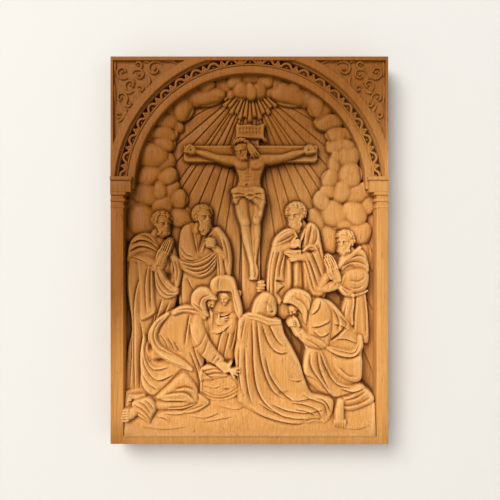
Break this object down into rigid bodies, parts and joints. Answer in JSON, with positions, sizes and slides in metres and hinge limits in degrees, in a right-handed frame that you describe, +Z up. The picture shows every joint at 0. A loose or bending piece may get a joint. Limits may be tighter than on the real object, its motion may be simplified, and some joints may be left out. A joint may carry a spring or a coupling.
{
  "type": "carved wooden crucifixion relief panel",
  "caption": "Upright carved wooden wall relief: an arched niche with clouds, rays, a crucifixion and robed onlookers, framed by pilasters and a lattice arch band.",
  "frame": {"origin": "middle of the flat back, where it lies on the wall", "axes": "+Z up along the panel's height, -Y out of the carved front, +Y into the wall, +X to the viewer's right"},
  "size_m": [0.43, 0.0536, 0.6],
  "materials": {
    "honey_wood": "light honey-brown carved wood with fine upright grain, satin wax and darker stain in the recesses"
  },
  "bodies": {
    "root": {"carved_panel": "honey_wood"}
  },
  "joints": []
}
